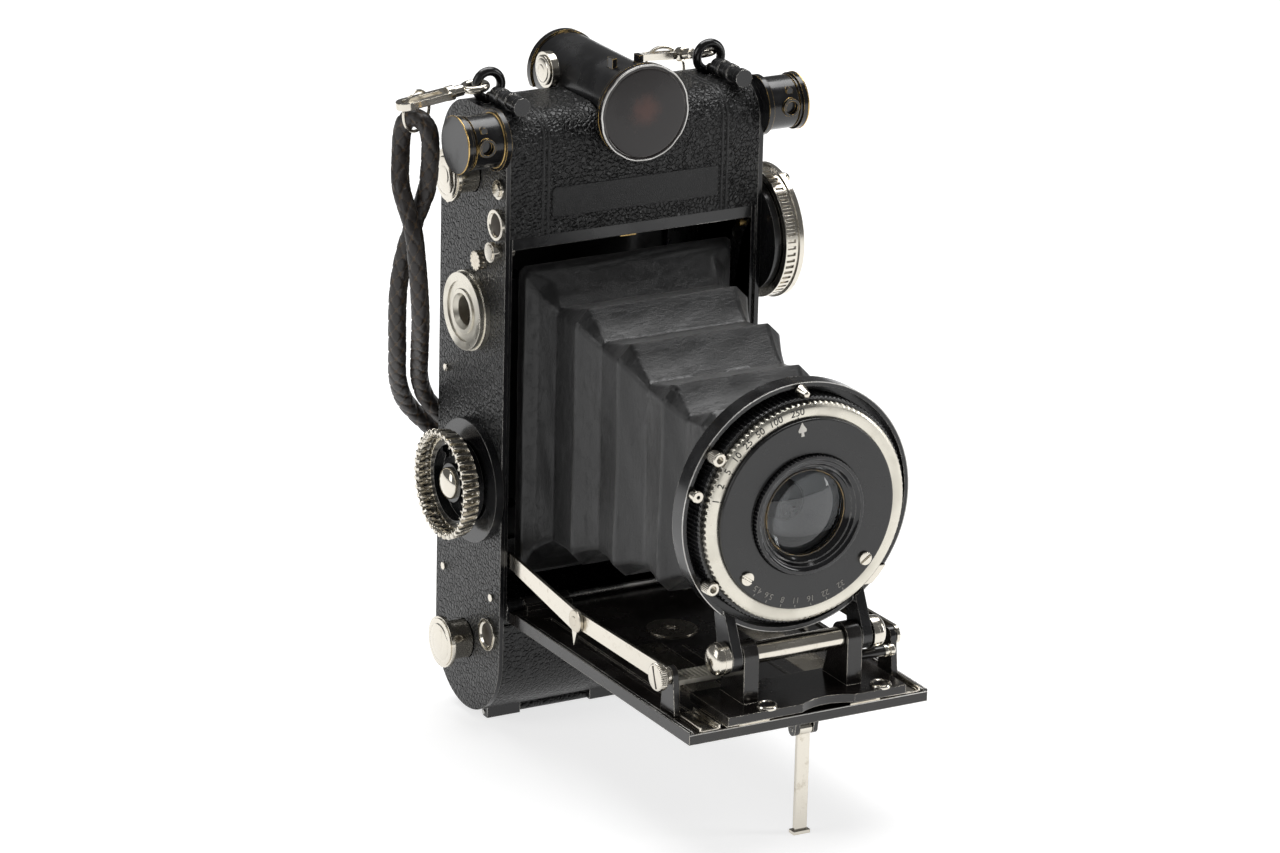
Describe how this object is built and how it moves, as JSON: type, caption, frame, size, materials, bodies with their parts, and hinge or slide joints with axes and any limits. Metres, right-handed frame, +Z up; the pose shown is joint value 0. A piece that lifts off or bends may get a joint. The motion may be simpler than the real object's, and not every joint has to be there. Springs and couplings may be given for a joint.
{
  "type": "folding camera",
  "caption": "Folding roll-film camera with drop bed, pleated bellows, tilting lens standard, coupled rangefinder barrels, tubular finder, hinged back and braided wrist strap.",
  "frame": {"origin": "middle of the base of the standing camera without its strap, at the height of the surface that it stands on", "axes": "+X to the right seen from the front, +Y to the back, away from the lens, +Z up"},
  "size_m": [0.1195, 0.157, 0.1939],
  "materials": {
    "leather": "fine-grained black leather",
    "side_leather": "fine-grained black leather in an enamelled edge",
    "door_leather": "fine-grained black leather over sheet metal",
    "enamel": "black gloss enamel, worn at the edges",
    "nickel": "warm nickel plate",
    "brass": "brass under worn black enamel",
    "pressure": "matt black enamel",
    "film_spool": "black moulded film spool",
    "glass": "clear lens glass",
    "bellows_leather": "dusty black bellows leather",
    "strap_leather": "dark braided leather"
  },
  "bodies": {
    "root": {"body_shell": "enamel", "side_left": "side_leather", "side_right": "side_leather", "top_cover": "leather", "lower_cover": "leather", "door_pin": "nickel", "socket": "nickel", "eyelets": "nickel", "side_screws": "nickel", "wind_scale": "enamel", "focus_drum": "enamel", "rf_left": "enamel", "rf_right": "enamel", "rf_caps": "brass", "finder_tube": "enamel", "finder_disc": "enamel", "lugs": "enamel", "snap_hooks": "nickel", "split_rings": "nickel", "strap_clamp": "nickel", "strap": "strap_leather", "bellows": "bellows_leather", "catch": "nickel"},
    "bed_pin": {"bed_pin": "nickel"},
    "bed": {"bed": "enamel", "bed_bush": "nickel", "bed_rails": "nickel", "bed_lever": "nickel"},
    "leg": {"leg": "nickel"},
    "focus_rail": {"focus_rail": "nickel"},
    "carriage": {"carriage": "enamel"},
    "standard": {"axle": "nickel", "lens_board": "enamel", "axle_nuts": "nickel", "shutter_body": "enamel", "shutter_face": "enamel", "lens_barrel": "enamel", "front_glass": "glass", "rear_cell": "enamel", "shutter_fittings": "nickel"},
    "speed_ring": {"speed_ring": "nickel"},
    "cocking_lever": {"cocking_lever": "nickel"},
    "strut_front_l": {"strut_front_left": "nickel"},
    "strut_rear_l": {"strut_rear_left": "nickel"},
    "strut_front_r": {"strut_front_right": "nickel"},
    "strut_rear_r": {"strut_rear_right": "nickel"},
    "back_door": {"door": "door_leather", "pressure_plate": "pressure"},
    "door_latch": {"door_latch": "nickel"},
    "wind": {"wind_wheel": "nickel", "wind_dish": "enamel"},
    "takeup": {"spool_takeup": "film_spool"},
    "feed": {"spool_feed": "film_spool"},
    "knob_upper": {"knob_upper": "nickel"},
    "knob_lower": {"knob_lower": "nickel"},
    "release_button": {"release_button": "nickel"},
    "fluted_knob": {"fluted_knob": "nickel"},
    "focus_wheel": {"focus_wheel": "nickel"},
    "finder_knob": {"finder_knob": "nickel"}
  },
  "joints": [
    {"name": "bed_close", "type": "hinge", "parent": "root", "child": "bed_pin", "pos_m": [0.00452, 0.0305, 0.0376], "axis": [-1, 0, 0], "range_deg": [0, 15]},
    {"name": "bed_fold", "type": "hinge", "parent": "bed_pin", "child": "bed", "pos_m": [0.00452, 0.0305, 0.0376], "axis": [-1, 0, 0], "range_deg": [0, 75], "deforming": ["bellows"]},
    {"name": "front_slide", "type": "slide", "parent": "focus_rail", "child": "carriage", "axis": [0, 1, 0], "range_m": [0, 0.0721]},
    {"name": "standard_tilt", "type": "hinge", "parent": "carriage", "child": "standard", "pos_m": [0.00452, -0.0659, 0.0532], "axis": [1, 0, 0], "range_deg": [0, 90]},
    {"name": "focus_slide", "type": "slide", "parent": "bed", "child": "focus_rail", "axis": [0, -1, 0], "range_m": [0, 0.006]},
    {"name": "focus_turn", "type": "hinge", "parent": "root", "child": "focus_wheel", "pos_m": [0.00452, 0.0365, 0.1365], "axis": [1, 0, 0], "range_deg": [0, 100]},
    {"name": "strut_front_left", "type": "hinge", "parent": "bed", "child": "strut_front_l", "pos_m": [0.00452, -0.0583, 0.0478], "axis": [1, 0, 0], "range_deg": [0, 21.9]},
    {"name": "strut_rear_left", "type": "hinge", "parent": "strut_front_l", "child": "strut_rear_l", "pos_m": [0.00452, -0.0099, 0.0472], "axis": [-1, 0, 0], "range_deg": [0, 70.8]},
    {"name": "strut_front_right", "type": "hinge", "parent": "bed", "child": "strut_front_r", "pos_m": [0.00452, -0.0583, 0.0478], "axis": [1, 0, 0], "range_deg": [0, 21.9]},
    {"name": "strut_rear_right", "type": "hinge", "parent": "strut_front_r", "child": "strut_rear_r", "pos_m": [0.00452, -0.0099, 0.0472], "axis": [-1, 0, 0], "range_deg": [0, 70.8]},
    {"name": "leg_fold", "type": "hinge", "parent": "bed", "child": "leg", "pos_m": [0.00452, -0.0711, 0.031], "axis": [1, 0, 0], "range_deg": [0, 88]},
    {"name": "back_open", "type": "hinge", "parent": "root", "child": "back_door", "pos_m": [0.00452, 0.0427, 0.0013], "axis": [-1, 0, 0], "range_deg": [0, 90], "deforming": ["strap"]},
    {"name": "latch_slide", "type": "slide", "parent": "back_door", "child": "door_latch", "axis": [0, 0, 1], "range_m": [0, 0.003]},
    {"name": "wind_turn", "type": "hinge", "parent": "root", "child": "wind", "pos_m": [0.00452, 0.0442, 0.0721], "axis": [-1, 0, 0], "continuous": true},
    {"name": "takeup_turn", "type": "hinge", "parent": "root", "child": "takeup", "pos_m": [0.00452, 0.0486, 0.1615], "axis": [-1, 0, 0], "continuous": true},
    {"name": "feed_turn", "type": "hinge", "parent": "root", "child": "feed", "pos_m": [0.00452, 0.0486, 0.0226], "axis": [-1, 0, 0], "continuous": true},
    {"name": "knob_upper_pull", "type": "slide", "parent": "root", "child": "knob_upper", "axis": [-1, 0, 0], "range_m": [0, 0.0026]},
    {"name": "knob_lower_pull", "type": "slide", "parent": "root", "child": "knob_lower", "axis": [-1, 0, 0], "range_m": [0, 0.0026]},
    {"name": "release_press", "type": "slide", "parent": "root", "child": "release_button", "axis": [1, 0, 0], "range_m": [0, 0.0013], "stiffness_N_per_m": 300},
    {"name": "fluted_turn", "type": "hinge", "parent": "root", "child": "fluted_knob", "pos_m": [0.00452, 0.0405, 0.1382], "axis": [-1, 0, 0], "range_deg": [0, 180]},
    {"name": "speed_turn", "type": "hinge", "parent": "standard", "child": "speed_ring", "pos_m": [0.00452, -0.0677, 0.0923], "axis": [0, -1, 0], "range_deg": [0, 130]},
    {"name": "cocking", "type": "hinge", "parent": "standard", "child": "cocking_lever", "pos_m": [0.00452, -0.0657, 0.0923], "axis": [0, -1, 0], "range_deg": [0, 30]},
    {"name": "finder_turn", "type": "hinge", "parent": "root", "child": "finder_knob", "pos_m": [0.00452, 0.0581, 0.1852], "axis": [-1, 0, 0], "range_deg": [0, 90]}
  ],
  "couplings": [
    {"joint": "front_slide", "follows": "bed_fold", "m_per_rad": 0.055075},
    {"joint": "standard_tilt", "follows": "bed_fold", "ratio": 1.2},
    {"joint": "strut_front_left", "follows": "bed_fold", "ratio": 0.292},
    {"joint": "strut_rear_left", "follows": "bed_fold", "ratio": 0.944},
    {"joint": "strut_front_right", "follows": "bed_fold", "ratio": 0.292},
    {"joint": "strut_rear_right", "follows": "bed_fold", "ratio": 0.944},
    {"joint": "focus_slide", "follows": "focus_turn", "m_per_rad": 0.003437},
    {"joint": "takeup_turn", "follows": "wind_turn", "ratio": 1}
  ]
}
